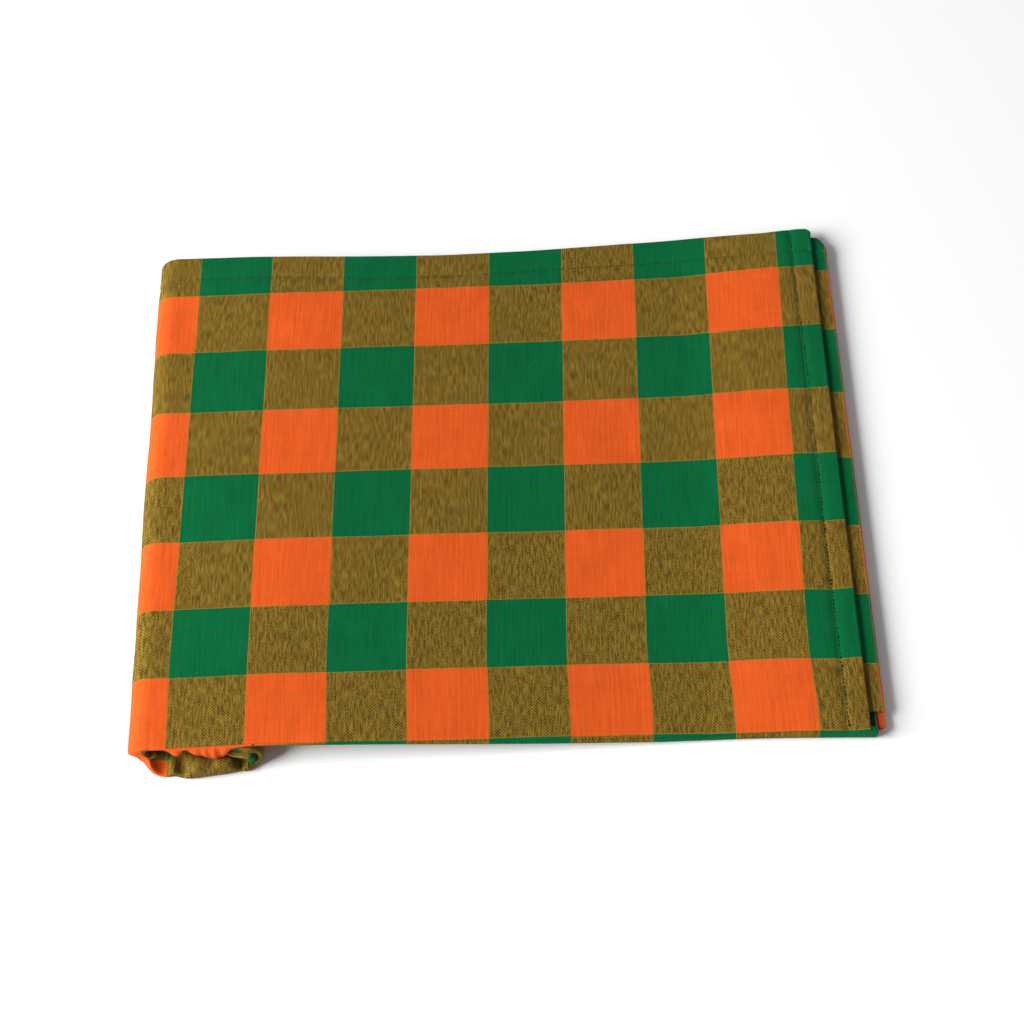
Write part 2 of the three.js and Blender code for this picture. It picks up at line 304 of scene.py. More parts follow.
# Past the crest the threads creep along each turn, and at its front they slip across it.
CREEP = {"from": 150, "over": -350}
SLIP = {"from": -165, "over": -25}
ROLL_CREEP = table("s along across", [
    (-205, 0, 0), (-210, 2, 7), (-229, 8, 7), (-234, 10, 16), (-250, 10, 16), (-254, 11, 36),
    (-297, 16, 36), (-304, 17, -8), (-314, 20, -10), (-319, 18, -12), (-328, 10, -12),
    (-334, -8, -12), (-340, -8, 30), (-372, 0, 30), (-392, 26, 36), (-414, 42, 36),
    (-418, 44, -9), (-447, 64, -9), (-458, 74, -9), (-461, 74, 30),
])


def pull(u, v):
    x = np.clip(u / REACH["along"], -1.05, 1.05)
    y = np.clip(v / REACH["across"], -1.35, 1.25)
    at_front = smooth((-y - 0.85) / 0.4)
    columns = {"all": 1, "bow": x ** 2, "fan_at_ends": x ** 2 * y, "sway": x ** 3,
               "front": at_front, "front_right": x * at_front}
    rows = {"fan": x * y, "fan_at_ends": x ** 2 * y, "bow": x * y ** 2, "sway": x ** 3,
            "crowding": np.maximum(y, -1.1) ** 3}
    return (sum(COLUMN_PULL[name] * shape for name, shape in columns.items()),
            sum(ROW_PULL[name] * shape for name, shape in rows.items()))


def threads_at(s, y):
    """Place across the warp and the weft, in millimetres, for a place laid out flat."""
    flat_s = np.maximum(s, CREST["s"])
    creep = read(ROLL_CREEP, s, "along") * clamp((y - CREEP["from"]) / CREEP["over"])
    slip = read(ROLL_CREEP, s, "across") * eased(y, SLIP)
    x = flat_s - lean(s) * y
    u, v = x.copy(), y.copy()
    for _ in range(5):
        columns, rows = pull(u, v)
        u = x - columns
        v = y - ROWS_CLIMB * np.clip(u, -CLIMB_REACH, CLIMB_REACH) - rows
    return u + (s - flat_s) + creep, v + slip


print("threads at the middle:", [float(at[0]) for at in threads_at(0.0, np.zeros(1))])

# %% [markdown]
# A ply of cloth could be a flat mesh with a cloth simulation on it. Here the folds are known
# exactly, so each ply is a grid instead: rows at stations along s, and in each row the same
# number of points along a path that goes round the hem and the folds. The grid is one face
# thick, and a Solidify modifier gives it the thickness of the cotton, inwards.

# %% Rows of a ply
GRID_STEP = {"outer": 3.6, "inner": 7.0, "hem": 5.0}
# Only the outer ply needs fine rows in the roll, finest on its first turn.
ROLL_STEP = {"first_turn": 1.5, "further_in": 1.9, "change": -345}
CLOSEST = 0.3
HEM_LIP = 1.2


def run(start, end, step):
    """Evenly spaced places from start to end, about step apart."""
    count = max(2, int(round(abs(end - start) / step)) + 1)
    return np.linspace(start, end, count)


def half_turn(at, depth, radius, count=7):
    """A turned edge, from below to above: places, depth and the way round it."""
    phi = np.linspace(math.pi, 0, count)
    return at + radius * np.sin(phi), depth + radius * (1 - np.cos(phi)), radius * phi


def turned_end(end, radius):
    """Rows of a hem's turned edge at the right: (s, inset, place along the thread)."""
    flat_from = end - radius
    s, inset, way = half_turn(flat_from, 0, radius, count=9)
    lip = (flat_from - HEM_LIP, 2 * radius, flat_from + math.pi * radius + HEM_LIP)
    return [lip, *zip(s, inset, flat_from + way)]


def stations(start, end, step, wanted=()):
    """Places along s from start down to end, closer together in the roll."""
    marks = [start, end, *wanted, *np.arange(start, CREST["s"], -step)]
    begin = CREST["s"]
    for stop in ROLL_ENDS:
        fine = ROLL_STEP["first_turn" if begin > ROLL_STEP["change"] else "further_in"]
        marks += list(run(begin, stop, fine if step == GRID_STEP["outer"] else step / 2))
        begin = stop
    kept = sorted((s for s in marks if end <= s <= start), reverse=True)
    return [s for i, s in enumerate(kept)
            if i == 0 or kept[i - 1] - s > CLOSEST or s in wanted]


for kind, step in GRID_STEP.items():
    print(kind, "rows:", len(stations(TOP_PLY_END, STRIP_END, step)))


# %% Lay one ply as a grid
def lay_grid(name, rows, path, relief, threads):
    """A grid of rows (s, inset, along) by a path of y and depth, laid into the strip."""
    points, woven = [], []
    for s, inset, along in rows:
        y, depth, ahead, across, give = path(s)
        y_way, depth_way = np.gradient(y), np.gradient(depth)
        size = np.hypot(y_way, depth_way)
        in_y, in_depth = depth_way / size, -y_way / size
        inset = inset * give - relief(s, y, in_depth)
        at = place(s, y + inset * in_y, depth + inset * in_depth)
        at[:, 0] += ahead
        points.append(at)
        woven.append(np.stack([*threads(along + ahead, across), np.zeros_like(y)], -1))
    return grid_piece(name, np.array(points), np.array(woven))


def make_piece(name, points, faces):
    mesh = bpy.data.meshes.new(name)
    mesh.from_pydata((points.reshape(-1, 3) * MM).tolist(), [], faces)
    mesh.shade_smooth()
    piece = bpy.data.objects.new(name, mesh)
    bpy.context.collection.objects.link(piece)
    return piece


def grid_piece(name, points, woven):
    count, across = points.shape[:2]
    ids = np.arange(count * across).reshape(count, across)
    quads = np.stack([ids[:-1, :-1], ids[1:, :-1], ids[1:, 1:], ids[:-1, 1:]], -1)
    piece = make_piece(name, points, quads.reshape(-1, 4).tolist())
    threads = piece.data.attributes.new("threads", "FLOAT_VECTOR", "POINT")
    threads.data.foreach_set("vector", woven.astype(np.float32).ravel())
    return piece


def dress(piece, material, *nodes):
    piece.data.materials.append(material)
    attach(piece, "root")
    if nodes:
        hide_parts(*nodes)
    print(piece.name, "has", len(piece.data.polygons), "faces")
    return piece


# %% [markdown]
# The cotton. It is a plain weave of dyed yarn: where warp and weft have the same colour the
# square is pure orange or green, and where they differ the two mix to olive. Real yarns lie
# about 0.5 mm apart, too fine to show, so they are drawn 1 mm apart, 48 to a stripe.
# The eye sees a matt cloth with a dry, slightly ribbed grain and a trace of fuzz at grazing
# light. An image could be tiled over the cloth, but thread coordinates give sharp yarns at
# any distance.

# %% A helper for materials
def linear(code):
    """An sRGB hex colour as linear RGBA."""
    values = [int(code[i:i + 2], 16) / 255 for i in (1, 3, 5)]
    return [v / 12.92 if v <= 0.04045 else ((v + 0.055) / 1.055) ** 2.4 for v in values] + [1]


def add(tree, kind, inputs=(), **settings):
    """Adds one node with its settings, and with values, sockets or nodes for its inputs.

    Inputs come in order, or with the number or name of each."""
    node = tree.nodes.new("ShaderNode" + kind)
    for key, value in settings.items():
        setattr(node, key, value)
    for key, value in inputs.items() if isinstance(inputs, dict) else enumerate(inputs):
        if isinstance(value, bpy.types.Node):
            value = value.outputs[0]
        if isinstance(value, bpy.types.NodeSocket):
            tree.links.new(value, node.inputs[key])
        else:
            node.inputs[key].default_value = value
    return node


def new_material(name, **constant):
    """A new material with its node tree and its shader, on which it sets what is constant."""
    material = bpy.data.materials.new(name)
    material.use_nodes = True
    shader = material.node_tree.nodes["Principled BSDF"]
    for socket, value in constant.items():
        shader.inputs[socket.replace("_", " ")].default_value = value
    return material, material.node_tree, shader


# %% The stripes and their yarns
STRIPE = 48.0
YARN = 1.0
WANDER = 0.7


def stripes(tree, woven):
    """For warp and weft: is it green, how far is the stripe's edge, which yarn, where in it."""
    place_at = add(tree, "SeparateXYZ", [woven])
    # Yarns wander a little in the cloth, so the edges of the stripes aren't quite sharp.
    wander = add(tree, "TexNoise", {"Vector": woven, "Scale": 0.8, "Detail": 1.0})
    wander = add(tree, "Math", [wander, 0.5], operation="SUBTRACT")
    ways = {}
    for way, across in (("warp", place_at.outputs[0]), ("weft", place_at.outputs[1])):
        loose = add(tree, "Math", [wander, WANDER, across], operation="MULTIPLY_ADD")
        in_pair = add(tree, "Math", [loose, STRIPE * 2], operation="FLOORED_MODULO")
        green = add(tree, "Math", [in_pair, STRIPE],
                    operation="LESS_THAN" if way == "warp" else "GREATER_THAN")
        off_edge = add(tree, "Math", [loose, STRIPE / 2], operation="PINGPONG")
        count = add(tree, "Math", [across, YARN], operation="DIVIDE")
        yarn = add(tree, "Math", [count], operation="FLOOR")
        part = add(tree, "Math", [count], operation="FRACT")
        within = add(tree, "Math", [part, 0.5], operation="SUBTRACT")
        ways[way] = {"green": green, "off_edge": off_edge, "yarn": yarn, "within": within}
    return ways["warp"], ways["weft"]


# %% The grain of the yarns
# How fine each noise is, for a millimetre across the warp and across the weft. Picks are long
# ribs with a share of short bars.
SHORT_SHARE = 0.4
GRAIN = table("name across_warp across_weft detail", [
    ("long_ribs", 0.9, 0.14, 2.0), ("short_bars", 0.5, 1.4, 2.0),
    ("ribs", 0.62, 0.03, 2.0), ("bars", 0.03, 0.7, 1.0), ("mottle", 0.06, 0.06, 3.0),
])


def grain_of_yarns(tree, woven):
    """Noises that are stretched along the yarns, and the picks that two of them make."""
    grain = {}
    for row in GRAIN:
        fine = (row["across_warp"], row["across_weft"], 1.0)
        stretched = add(tree, "VectorMath", [woven, fine], operation="MULTIPLY")
        grain[row["name"]] = add(tree, "TexNoise", {
            "Vector": stretched, "Scale": 1.0, "Detail": row["detail"]})
    grain["picks"] = add(tree, "Mix", {0: SHORT_SHARE, 2: grain["long_ribs"],
                                       3: grain["short_bars"]})
    return grain


# %% The dyes, and painted light and shade in the olive
# The two olives are one mixture painted lighter and darker: the light one is a painted highlight
# on proud picks where the orange yarn is up, the dark one is painted shade in the gaps and the
# green yarn up.
DYES_AND_PAINTED_LIGHT = {"orange": "#d4551e", "green": "#035d33", "olive_orange_up_and_lit": "#93762b",
        "olive_green_up_and_shaded": "#3a2a08"}
# Painted shade in the gaps: they open between two heights of the picks and darken the olive as
# shade between ribs would. The olive is also darker where the green yarn is up, which is the
# yarn's own colour.
GAP_SHADE = {"from": 0.39, "to": 0.61, "none": 0.0, "dark": 0.66}
GREEN_UP = 0.4
# The share of the olive's darkening kept on each stripe's first yarn, where a painted highlight
# lightens it.
STRIPE_EDGE_HIGHLIGHT = 0.4
# How much of each noise goes into a yarn's brightness, and the brightness that it gives.
DYE_TAKEN = {"bars": 0.25, "mottle": 0.5, "picks": 0.7}
BRIGHT = {"from": 0.925, "to": 1.525, "least": 0.85, "most": 1.15}


def dyed(tree, warp, weft, grain):
    """Orange or green where warp and weft agree, and olive with painted highlight and shade where
    they differ.
    """
    # In a plain weave the warp lies on top at every other crossing.
    both = add(tree, "Math", [warp["yarn"], weft["yarn"]])
    warp_up = add(tree, "Math", [both, 2.0], operation="FLOORED_MODULO")
    upper = add(tree, "Mix", {0: warp_up, 2: weft["green"], 3: warp["green"]})
    pure = add(tree, "Mix", {0: warp["green"], 6: linear(DYES_AND_PAINTED_LIGHT["orange"]),
                             7: linear(DYES_AND_PAINTED_LIGHT["green"])}, data_type="RGBA")
    # Where the two colours cross, the eye sees olive. It is painted lighter where a pick stands
    # proud, as a painted highlight, and darker in the gaps between ribs, as painted shade.
    gaps = add(tree, "MapRange", [grain["picks"], *GAP_SHADE.values()])
    gaps = add(tree, "Math", [upper, GREEN_UP, gaps], operation="MULTIPLY_ADD")
    # The first yarn of each stripe stands proud, and a painted highlight on it draws a thin light
    # line in the olive.
    inner = add(tree, "Math", [warp["off_edge"], weft["off_edge"]], operation="MINIMUM")
    inner = add(tree, "Math", [inner, YARN / 2], operation="GREATER_THAN")
    inner = add(tree, "Math", [inner, STRIPE_EDGE_HIGHLIGHT], operation="MAXIMUM")
    gaps = add(tree, "Math", [gaps, inner], operation="MULTIPLY")
    olive = add(tree, "Mix", {0: gaps, 6: linear(DYES_AND_PAINTED_LIGHT["olive_orange_up_and_lit"]),
                              7: linear(DYES_AND_PAINTED_LIGHT["olive_green_up_and_shaded"])}, data_type="RGBA")
    mixed = add(tree, "Math", [warp["green"], weft["green"]], operation="SUBTRACT")
    mixed = add(tree, "Math", [mixed], operation="ABSOLUTE")
    return add(tree, "Mix", {0: mixed, 6: pure.outputs[2], 7: olive.outputs[2]}, data_type="RGBA")


def worn(tree, colour, grain):
    """Yarns differ in thickness and in how much dye they took, the warp most of all."""
    uneven = grain["ribs"]
    for name, share in DYE_TAKEN.items():
        uneven = add(tree, "Math", [grain[name], share, uneven], operation="MULTIPLY_ADD")
    bright = add(tree, "MapRange", [uneven, *BRIGHT.values()])
    return add(tree, "HueSaturation", {"Value": bright, "Color": colour.outputs[2]})


# %% The relief of the weave
BUMP = {"Strength": 0.4, "Distance": 0.16 * MM}
RELIEF = {"ribs": 1.6, "picks": 1.0}


def weave_relief(tree, warp, weft, grain):
    """Each yarn is round across, and it dips where the other passes over it."""
    curves = []
    for way in (warp, weft):
        turn = add(tree, "Math", [way["within"], math.pi], operation="MULTIPLY")
        curves.append(add(tree, "Math", [turn], operation="COSINE"))
    relief = add(tree, "Math", [curves[0], curves[1]], operation="MULTIPLY")
    for name, share in RELIEF.items():
        relief = add(tree, "Math", [grain[name], share, relief], operation="MULTIPLY_ADD")
    return add(tree, "Bump", {"Height": relief, **BUMP})


# %% Checked cotton
def checked_cotton():
    """Plain-woven cotton in two dyed yarns: dry and matt, with a fine rib."""
    material, tree, shader = new_material(
        "plain_woven_checked_cotton", Roughness=0.9, IOR=1.53, Specular_IOR_Level=0.06,
        Sheen_Weight=0.02, Sheen_Roughness=0.5)
    woven = add(tree, "Attribute", attribute_name="threads").outputs["Vector"]
    warp, weft = stripes(tree, woven)
    grain = grain_of_yarns(tree, woven)
    colour = worn(tree, dyed(tree, warp, weft, grain), grain)
    tree.links.new(colour.outputs[0], shader.inputs["Base Color"])
    bump = weave_relief(tree, warp, weft, grain)
    tree.links.new(bump.outputs[0], shader.inputs["Normal"])
    return material


COTTON = checked_cotton()
print("cotton drawn with", int(STRIPE / YARN), "yarns to a stripe")

# %% One ply of cotton
PLY = {"top": 0.45, "inner": 0.34}


def no_relief(s, y, in_depth):
    return np.zeros_like(y)


def lay_ply(name, node, thick, places, path, turned=(), relief=no_relief, threads=threads_at):
    """A ply of cotton that stands for a node, with rows for a turned end and for each place."""
    rows = [*turned, *((s, 0.0, s) for s in places)]
    piece = lay_grid(name, rows, path, relief, threads)
    ply = piece.modifiers.new("thickness of the ply", "SOLIDIFY")
    ply.thickness = thick * MM
    ply.offset = -1
    return dress(piece, COTTON, node)


def joined(*stretches):
    """The y and the depth of a path whose stretches each give both."""
    pairs = [np.broadcast_arrays(y, depth) for y, depth in stretches]
    return [np.concatenate(part) for part in zip(*pairs)]


# %% [markdown]
# The outer ply. It starts at the back in a turned hem, crosses the top, folds round the front,
# runs back under the strip, and turns up at the back into the next ply. On the real cloth it
# goes on through every turn of the roll. Here it is two grids that meet under the roll, where
# it leaves the floor, one for each solid that they stand for. A shallow groove follows each
# line of stitches, where the thread draws the hem together, and the hem outside it stands a
# little higher, because it is two plies thick.

# %% The stack of plies
# The share of the strip's thickness at which each ply begins, and the size of its turned edge.
STACK = {
    "first": {"top": 0.0, "edge": 0.23},
    "second": {"top": 0.26, "edge": 0.23},
    "third": {"top": 0.51, "edge": 0.075},
    "fourth": {"top": 0.61, "edge": 0.075},
    "fifth": {"top": 0.71},
    "sixth": {"top": 0.79, "edge": 0.12},
}
# In a corner, a ply's back edge takes this share of the turn at its end.
HEM_GIVE = 0.3
# How many points each stretch of a path has.
POINTS = {"fold": 19, "under": 46, "back_fold": 8, "tuck": 6, "run": 74, "bend": 7, "band": 60}
# The long front fold, with a groove under its first ply except in the roll.
FOLD = {"width": 2.6, "squareness": 0.62, "puffed": 14}
FOLD_GROOVE = {"in": 1.2, "depth": 1.4, "width": 0.7, "from": -170, "over": 60}
NEAR_FOLD = np.array([1.5, 3.0, 4.5, 6.0, 8.0, 10.0, 13.0, 16.0])
# The fold at the back, out of which the fifth ply comes.
BACK_FOLD = {"behind": 3.4, "tuck": 40.0}
# At the right end the under half reaches out beyond the top ply.
UNDER_HALF = {"ahead": 4.0, "from_depth": 1.7}
# The strip's inner end, where the plies draw together.
INNER_END = {"nose": 2.2, "blunt": 0.35, "blunt_inside": 0.2}
TOP_POINTS = {"hem": 26, "fine": 1.3, "coarse_points": 72}
# The hemmed corner of the top ply stands out a little, because four plies meet in it.
CORNER_EAR = {"from": 184.0, "over": 28.0, "out": 2.0}
# The front fold in the roll: how far it draws back, and how far it puffs up inwards. Together
# they make the lobes, the valley and the cavity at the roll's front end.
FRONT_FOLDS = table("s back puff", [
    (-200, 0, 0), (-205, -0.4, 3), (-210, 0, 9), (-215, 0.6, 12), (-220, 0.8, 11), (-226, 3, 6.5),
    (-231, 6, 7), (-236, 6.6, 2.5), (-239, 3.6, 3), (-242, 1.4, 2), (-245, 0.8, -1.5),
    (-247, 0.8, -2), (-250, 1, -2), (-252, 1.4, 3), (-254, 1.4, 3), (-256, 1.2, -0.5),
    (-260, 0.4, -0.5), (-263, 0, 5), (-269, 0.5, 8), (-276, 1.5, 6), (-282, 1.8, 7.5),
    (-288, 2.4, 6), (-291, 3.4, -1), (-294, 3.4, -1), (-297, 2.6, 3), (-301, 4.4, 1.5),
    (-305, 5.8, -1), (-311, 5.2, -1), (-318, 4.6, -0.4), (-326, 2.4, 1.6), (-334, 3, 1),
    (-350, 5, 0), (-362, 5.6, 0), (-371, 7, 0.5), (-384, 13, 0), (-396, 13, 0), (-412, 7, 1),
    (-417, 6, 1), (-421, 12, 0), (-426, 12, 0), (-430, 5, 0), (-434, 3, 0), (-447, 2.4, 0),
    (-456, 4, 0), (-462, 5.6, 0),
])
print(len(FRONT_FOLDS), "places along the front fold")


# %% Hems, ends and turned edges
def top_back(s):
    return cornered_back(s, TOP_PLY_END) + CORNER_EAR["out"] * eased(s, CORNER_EAR)


def hem_radius(s, ply="first"):
    return STACK[ply]["edge"] * thickness(s) / 2


def spread(back, front):
    """Places from the back edge to the front: fine over the hem, then coarse."""
    fine = np.arange(0, TOP_POINTS["hem"], TOP_POINTS["fine"])
    coarse = np.linspace(0, 1, TOP_POINTS["coarse_points"])
    rest = TOP_POINTS["hem"] + (back - front - TOP_POINTS["hem"]) * coarse
    return back - np.concatenate([fine, rest])


def rounded_end(s, depth, blunt):
    """Draws the plies together at the strip's inner end, as a fold does."""
    nose = np.sqrt(1 - (1 - clamp((s - STRIP_END) / INNER_END["nose"])) ** 2)
    nose = blunt + (1 - blunt) * nose
    whole = thickness(s)
    return whole / 2 + (depth - whole / 2) * nose


print("the end hem turns on a radius of", hem_radius(TOP_PLY_END).round(2), "mm")


# %% The outer ply's path
def outer_path(s):
    """Back hem, top, front fold, under half and the fold up to the fifth ply.

    Gives y, depth, how far each point stands ahead along s, its place across the threads, and
    how much of a hem's turned end it takes."""
    whole, radius = thickness(s), hem_radius(s)
    back, front = top_back(s), edge(s, "front") + read(FRONT_FOLDS, s, "back")
    puff = read(FRONT_FOLDS, s, "puff")
    hem_y, hem_depth, way = half_turn(back - radius, 0, radius)
    top = spread(back - radius, front + FOLD["width"])[1:]
    lip_across = back + (math.pi - 1) * radius + HEM_LIP
    known = np.concatenate([[lip_across], back - radius + way, top])

    phi = np.linspace(0, math.pi, POINTS["fold"])[1:]
    power = FOLD["squareness"]
    cosine = np.sign(np.cos(phi)) * np.abs(np.cos(phi)) ** power
    fold_depth = (whole + puff) / 2 * (1 - cosine)
    off_groove = (fold_depth - FOLD_GROOVE["depth"]) / FOLD_GROOVE["width"]
    groove = FOLD_GROOVE["in"] * eased(s, FOLD_GROOVE) * np.exp(-off_groove ** 2)
    fold_y = front + FOLD["width"] * (1 - np.sin(phi) ** power) + groove

    rise = (1 - STACK["fifth"]["top"]) * whole / 2
    back_fold = back - BACK_FOLD["behind"] - rise
    near = front + FOLD["width"] + NEAR_FOLD
    under = np.concatenate([near, np.linspace(near[-1], back_fold, POINTS["under"])[1:]])
    puffed = puff * (1 - smooth((under - front - FOLD["width"]) / FOLD["puffed"]))
    psi = np.linspace(0, math.pi, POINTS["back_fold"])[1:]
    tucked = back_fold - np.linspace(0, BACK_FOLD["tuck"], POINTS["tuck"])[1:]
    y, depth = joined(([back - radius - HEM_LIP], 2 * radius), (hem_y, hem_depth), (top, 0.0),
                      (fold_y, fold_depth), (under, whole + puffed),
                      (back_fold + rise * np.sin(psi), whole - rise * (1 - np.cos(psi))),
                      (tucked, whole - 2 * rise))
    steps = np.hypot(np.diff(y[len(known) - 1:]), np.diff(depth[len(known) - 1:]))
    across = np.concatenate([known, known[-1] - np.cumsum(steps)])

    depth = rounded_end(s, depth, INNER_END["blunt"])
    at_end = smooth((s - TOP_PLY_END + END_HEM_WIDTH) / END_HEM_WIDTH)
    ahead = UNDER_HALF["ahead"] * smooth(depth / UNDER_HALF["from_depth"]) * at_end
    ahead[:len(known)] = 0
    give = np.ones_like(y)
    give[:len(hem_y) + 1] = HEM_GIVE
    return y, depth, ahead, across, give


# %% Relief of the outer ply
# Where the stitches run, in from the hem's edge, and what they do to the cloth.
STITCHES = {"end": 13.7, "side": 17.3, "pitch": 2.8, "groove": 0.8, "width": 1.8,
            "hem_height": 0.225, "pucker": 0.2, "pucker_length": 6.44, "pucker_width": 3.5}
CLEARANCE = {"outer": 0.05, "inner": 0.02}
# Between these the under half is off the floor.
LIFTED_FROM = {"from": CREST["s"], "over": 20}
LIFTED_TO = {"from": 150, "over": -40}


def hem_relief(s, y, end, back):
    """Groove along the stitches and the rise of the hem outside them, with small puckers."""
    total = np.zeros_like(y)
    lines = ((end - s - STITCHES["end"], y), (back - y - STITCHES["side"], s))
    for off, along in lines:
        total -= STITCHES["groove"] * np.exp(-(off / STITCHES["width"]) ** 2)
        turn = 2 * math.pi * along / STITCHES["pucker_length"]
        pucker = STITCHES["pucker"] * np.sin(turn + 0.8 * np.sin(along / 9))
        total += pucker * np.exp(-(off / STITCHES["pucker_width"]) ** 2)
        total += STITCHES["hem_height"] * (1 - smooth((off + 1) / 2.5))
    return total


def top_relief(s, y):
    """Creases and unevenness as far as the roll's left bend, and the relief of the hems."""
    shape = crease_height(TOP_CREASES, s, y) + unevenness(s, y, size=24, height=0.3, seed=2.5)
    shape += unevenness(s, y, size=70, height=0.5, seed=7.5)
    before_floor = smooth((s - ROLL_ENDS[0] + 4) / 8)
    return shape * before_floor + hem_relief(s, y, TOP_PLY_END, top_back(s))


def facing(part):
    """1 where a face looks that way, and 0 where it stands across it."""
    return smooth(part / 0.6 - 0.4)


def outer_relief(s, y, in_depth):
    """Creases of the top where the face looks up, and of the under half where it looks down."""
    lifted = eased(s, LIFTED_TO) * eased(s, LIFTED_FROM)
    below = crease_height(UNDER_CREASES, s, y) + unevenness(s, y, size=30, height=0.4, seed=5.5)
    below = np.where(below < 0, -UNDER_SINK * np.tanh(-below / UNDER_SINK), below)
    below = below * lifted - CLEARANCE["outer"]
    return facing(in_depth) * top_relief(s, y) + facing(-in_depth) * below


# %% Lay the outer ply
def make_outer_ply():
    radius = hem_radius(TOP_PLY_END)
    stitch_rows = [TOP_PLY_END - STITCHES["end"] + d for d in (-1.6, -0.8, 0, 0.8, 1.6)]
    nose_rows = [STRIP_END + INNER_END["nose"] * part for part in (0.1, 0.35, 0.7, 1.0)]
    seam = ROLL_ENDS[1]
    close = [*stitch_rows, *corner_rows(TOP_PLY_END, CORNER_RADIUS + 1)]
    flat = stations(TOP_PLY_END - radius - CLOSEST, seam, GRID_STEP["outer"], close)
    turned = turned_end(TOP_PLY_END, radius)
    whole = lay_ply("outer_ply", "top_sheet", PLY["top"], flat, outer_path, turned, outer_relief)
    turns = stations(seam, STRIP_END, GRID_STEP["outer"], nose_rows)
    rolled = lay_ply("rolled_ply", "inner_turns", PLY["top"], turns, outer_path,
                     relief=outer_relief)
    return whole, rolled


outer_ply, rolled_ply = make_outer_ply()

# %% [markdown]
# The plies inside. Only their edges show: the second ply's hem and the folds under it at the
# right, about nine millimetres out, and hems and folds along the back. They could be left out
# and painted as lines, but then the gaps between them would hold no shadow. Each is laid by
# the same function as the outer ply, with a simpler path.

# %% Where the inner plies lie
INNER = table("ply end front behind lip shift bend corner rim", [
    ("second", SECOND_PLY["end"], SECOND_PLY["front"], 3.4, 6, (8.6, 3.5), 0.9, (7.5, 13), 1.1),
    ("third", 230.6, -178.6, 4.3, 4, (8.2, 1), 0.33, (8, 14), 5),
    ("fourth", 229.4, -178.9, 5.1, 4, (-3, 6), 0.33, (8, 14), 5),
    ("sixth", 229.8, -178.2, 6.4, 300, (8, 2), 0.3, (8, 14), 1.2),
])
# They stop behind the front fold, and towards the right end each goes over to its own front.
INNER_FRONT = {"behind": 4.5, "held_from": 60, "from": 100, "over": 60}
# Between the second ply's front end and the fold, the plies below are drawn back.
HOLLOW = {"from": 179.0, "over": 40, "to": 226.6, "front": -166.0}
# At the roll's lower left they leave an open cavity behind the front fold.
CAVITY = {"s": -247.0, "width": 7.0, "back": 12.0}


def inner_path(ply):
    def path(s):
        top, radius = STACK[ply["ply"]]["top"] * thickness(s), hem_radius(s, ply["ply"])
        back = cornered_back(s, ply["end"], *ply["corner"]) - ply["behind"]
        drawn_back = read(FRONT_FOLDS, s, "back") + CAVITY["back"] * math.exp(
            -((s - CAVITY["s"]) / CAVITY["width"]) ** 2)
        front = edge(s, "front") + INNER_FRONT["behind"] + drawn_back
        if s > INNER_FRONT["held_from"]:
            front = max(ply["front"], front)
        front += (ply["front"] - front) * eased(s, INNER_FRONT)
        if s < HOLLOW["to"] and ply["ply"] != "second":
            front += (HOLLOW["front"] - front) * eased(s, HOLLOW)
        bend = ply["bend"]
        ty, td, way = half_turn(back - radius, top, radius)
        lip = back - radius - np.linspace(ply["lip"], 0, max(3, int(ply["lip"] / 9)))[:-1]
        run_y = np.linspace(back - radius, front + bend, POINTS["run"])[1:]
        phi = np.linspace(0, math.pi, POINTS["bend"])[1:]
        fy, fd = front + bend - bend * np.sin(phi), top + bend * (1 - np.cos(phi))
        y, depth = joined((lip, top + 2 * radius), (ty, td), (run_y, top), (fy, fd))
        across = np.concatenate([2 * (back - radius) + math.pi * radius - lip,
                                 back - radius + way, run_y, front + bend - bend * phi])
        depth = rounded_end(s, depth, INNER_END["blunt_inside"])
        give = np.ones_like(y)
        give[len(lip):len(lip) + len(ty)] = HEM_GIVE
        give[-len(fy):] = HEM_GIVE
        return y, depth, np.zeros_like(y), across, give

    return path


print("inner plies:", [ply["ply"] for ply in INNER])


# %% Lay the inner plies
# Near its end each ply shows the stripe that its own rim has.
RIM = {"from": -30, "over": 15}


def make_inner_ply(ply, seed):
    radius = hem_radius(ply["end"], ply["ply"])
    stitch_rows = [ply["end"] - END_HEM_WIDTH + d for d in (-0.8, 0, 0.8)]
    close = [*stitch_rows, *corner_rows(ply["end"], ply["corner"][0]),
             HOLLOW["to"] - 0.2, HOLLOW["to"] + 0.2]
    flat = stations(ply["end"] - radius - CLOSEST, STRIP_END + 1.5, GRID_STEP["inner"], close)

    def relief(s, y, in_depth):
        uneven = unevenness(s, y, size=20, height=0.12, seed=seed)
        return facing(in_depth) * (uneven - CLEARANCE["inner"])

    def threads(s, y):
        u, v = threads_at(s + ply["shift"][0], y + ply["shift"][1])
        along_rim = STRIPE * 5 + s - ply["end"] + ply["rim"]
        return u + (along_rim - u) * eased(s - ply["end"], RIM), v

    second = ply["ply"] == "second"
    name = ply["ply"] + ("_fold_ply" if second else "_ply")
    node = "second_ply" if second else "folded_core"
    turned = turned_end(ply["end"], radius)
    return lay_ply(name, node, PLY["inner"], flat, inner_path(ply), turned, relief, threads)


inner_plies = [make_inner_ply(ply, 11.5 + i) for i, ply in enumerate(INNER)]

# %% [markdown]
# The slipped fold. Where the strip was rolled, a fold of an inner ply has slipped out under the
# front edge of the top. It hangs down in front of the roll's turns as a short wavy flap, with
# an arch in it. Its lower edge is a curve through places given one by one, because a simulated
# flap would settle into even waves.

